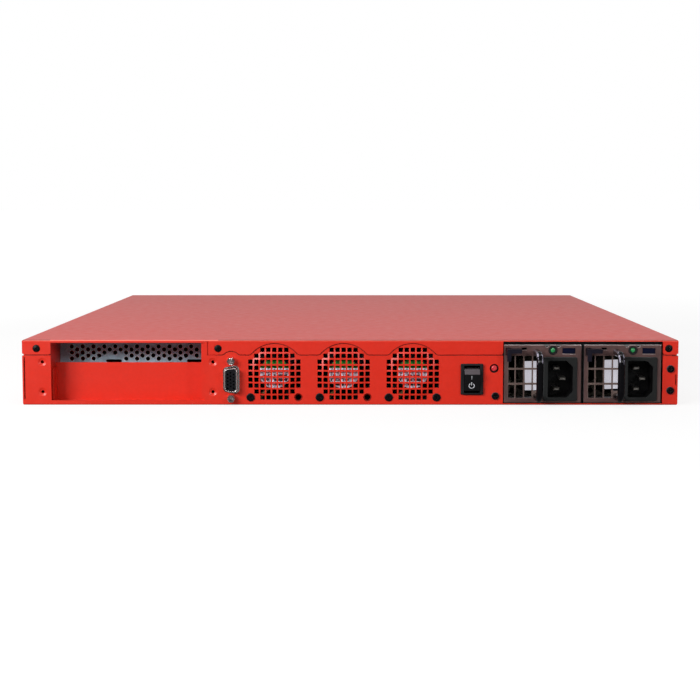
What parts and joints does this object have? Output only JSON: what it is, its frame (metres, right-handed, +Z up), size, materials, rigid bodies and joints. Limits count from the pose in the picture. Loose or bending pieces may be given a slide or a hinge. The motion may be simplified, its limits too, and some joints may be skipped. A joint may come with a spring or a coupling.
{
  "type": "rack-mount firewall appliance",
  "caption": "Low rack-mount network firewall in a red sheet-steel case, with fan grilles, a recessed module bay, slide-in power supplies with handles, and a keypad with display.",
  "frame": {"origin": "middle of the case's flat underside", "axes": "+Z up; +Y towards the front panel (the rear wall with fans and power supplies faces -Y); +X to the right of someone facing the rear wall"},
  "size_m": [0.4386, 0.5325, 0.0436],
  "materials": {
    "powder_coat_red": "fine satin powder coat",
    "zinc_steel": "zinc-plated sheet, faint spangle",
    "black_screw": "black oxide",
    "psu_case_steel": "zinc-plated sheet",
    "psu_face": "dark nickel-black plate, satin",
    "black_plastic": "moulded, fine grain",
    "fan_plastic": "moulded, fine grain",
    "handle_black": "gloss black",
    "latch_black": "satin black",
    "pin_nickel": "nickel plate",
    "shell_nickel": "nickel plate",
    "rocker_black": "semi-gloss",
    "button_red": "gloss",
    "led_green": "translucent",
    "circuit_green": "solder mask",
    "aluminium_fins": "extruded",
    "brass_nickel": "turned",
    "key_grey": "moulded",
    "clear_lens": "clear"
  },
  "bodies": {
    "chassis": {"tray": "powder_coat_red", "rear_wall": "powder_coat_red", "top_cover": "powder_coat_red", "bay_bracket": "powder_coat_red", "vent_plate": "zinc_steel", "cover_screws": "black_screw", "wall_screws": "black_screw", "fan_screws": "black_screw", "fan_1_frame": "fan_plastic", "fan_2_frame": "fan_plastic", "fan_3_frame": "fan_plastic", "vga_shell": "shell_nickel", "vga_insulator": "black_plastic", "vga_jackscrews": "shell_nickel", "switch_housing": "black_plastic", "alarm_switch_body": "black_plastic", "psu_cage": "zinc_steel", "psu_backplane": "circuit_green", "mainboard": "circuit_green", "board_standoffs": "brass_nickel", "memory_modules": "circuit_green", "cpu_heatsink": "aluminium_fins", "front_panel": "powder_coat_red", "front_screws": "black_screw", "ethernet_jacks": "shell_nickel", "console_jack": "shell_nickel", "usb_ports": "shell_nickel", "sfp_cages": "shell_nickel", "display_board": "circuit_green", "lcd_lens": "clear_lens", "status_leds": "led_green"},
    "rocker": {"power_rocker": "rocker_black"},
    "alarm_cap": {"alarm_button": "button_red"},
    "fan_1": {"fan_1_rotor": "fan_plastic"},
    "fan_2": {"fan_2_rotor": "fan_plastic"},
    "fan_3": {"fan_3_rotor": "fan_plastic"},
    "psu_1": {"psu_1_case": "psu_case_steel", "psu_1_faceplate": "psu_face", "psu_1_inlet": "black_plastic", "psu_1_inlet_pins": "pin_nickel", "psu_1_handle": "handle_black", "psu_1_led": "led_green", "psu_1_board": "circuit_green", "psu_1_fan_frame": "fan_plastic"},
    "psu_1_fan": {"psu_1_fan_rotor": "fan_plastic"},
    "psu_1_lever": {"psu_1_latch": "latch_black"},
    "psu_2": {"psu_2_case": "psu_case_steel", "psu_2_faceplate": "psu_face", "psu_2_inlet": "black_plastic", "psu_2_inlet_pins": "pin_nickel", "psu_2_handle": "handle_black", "psu_2_led": "led_green", "psu_2_board": "circuit_green", "psu_2_fan_frame": "fan_plastic"},
    "psu_2_fan": {"psu_2_fan_rotor": "fan_plastic"},
    "psu_2_lever": {"psu_2_latch": "latch_black"},
    "panel_key_up": {"key_up": "key_grey"},
    "panel_key_down": {"key_down": "key_grey"},
    "panel_key_left": {"key_left": "key_grey"},
    "panel_key_right": {"key_right": "key_grey"}
  },
  "joints": [
    {"name": "power_switch", "type": "hinge", "parent": "chassis", "child": "rocker", "pos_m": [0.0814, -0.2504, 0.0174], "axis": [-1, 0, 0], "range_deg": [0, 28]},
    {"name": "alarm_press", "type": "slide", "parent": "chassis", "child": "alarm_cap", "axis": [0, 1, 0], "range_m": [0, 0.0012], "stiffness_N_per_m": 600, "springref_m": -0.0008},
    {"name": "fan_1_spin", "type": "hinge", "parent": "chassis", "child": "fan_1", "pos_m": [-0.0505, -0.252, 0.02105], "axis": [0, 1, 0], "continuous": true},
    {"name": "fan_2_spin", "type": "hinge", "parent": "chassis", "child": "fan_2", "pos_m": [-0.0043, -0.252, 0.02105], "axis": [0, 1, 0], "continuous": true},
    {"name": "fan_3_spin", "type": "hinge", "parent": "chassis", "child": "fan_3", "pos_m": [0.0419, -0.252, 0.02105], "axis": [0, 1, 0], "continuous": true},
    {"name": "psu_1_slide", "type": "slide", "parent": "chassis", "child": "psu_1", "axis": [0, -1, 0], "range_m": [0, 0.18]},
    {"name": "psu_1_fan_spin", "type": "hinge", "parent": "psu_1", "child": "psu_1_fan", "pos_m": [0.1266, -0.224, 0.02105], "axis": [0, 1, 0], "continuous": true},
    {"name": "psu_1_latch_squeeze", "type": "hinge", "parent": "psu_1", "child": "psu_1_lever", "pos_m": [0.1052, -0.224, 0.036], "axis": [0, 0, 1], "range_deg": [0, 3.5], "stiffness_Nm_per_rad": 0.8, "springref_deg": -2.86},
    {"name": "psu_2_slide", "type": "slide", "parent": "chassis", "child": "psu_2", "axis": [0, -1, 0], "range_m": [0, 0.18]},
    {"name": "psu_2_fan_spin", "type": "hinge", "parent": "psu_2", "child": "psu_2_fan", "pos_m": [0.1799, -0.224, 0.02105], "axis": [0, 1, 0], "continuous": true},
    {"name": "psu_2_latch_squeeze", "type": "hinge", "parent": "psu_2", "child": "psu_2_lever", "pos_m": [0.1585, -0.224, 0.036], "axis": [0, 0, 1], "range_deg": [0, 3.5], "stiffness_Nm_per_rad": 0.8, "springref_deg": -2.86},
    {"name": "key_up_press", "type": "slide", "parent": "chassis", "child": "panel_key_up", "axis": [0, -1, 0], "range_m": [0, 0.0006], "stiffness_N_per_m": 800, "springref_m": -0.0006},
    {"name": "key_down_press", "type": "slide", "parent": "chassis", "child": "panel_key_down", "axis": [0, -1, 0], "range_m": [0, 0.0006], "stiffness_N_per_m": 800, "springref_m": -0.0006},
    {"name": "key_left_press", "type": "slide", "parent": "chassis", "child": "panel_key_left", "axis": [0, -1, 0], "range_m": [0, 0.0006], "stiffness_N_per_m": 800, "springref_m": -0.0006},
    {"name": "key_right_press", "type": "slide", "parent": "chassis", "child": "panel_key_right", "axis": [0, -1, 0], "range_m": [0, 0.0006], "stiffness_N_per_m": 800, "springref_m": -0.0006}
  ]
}
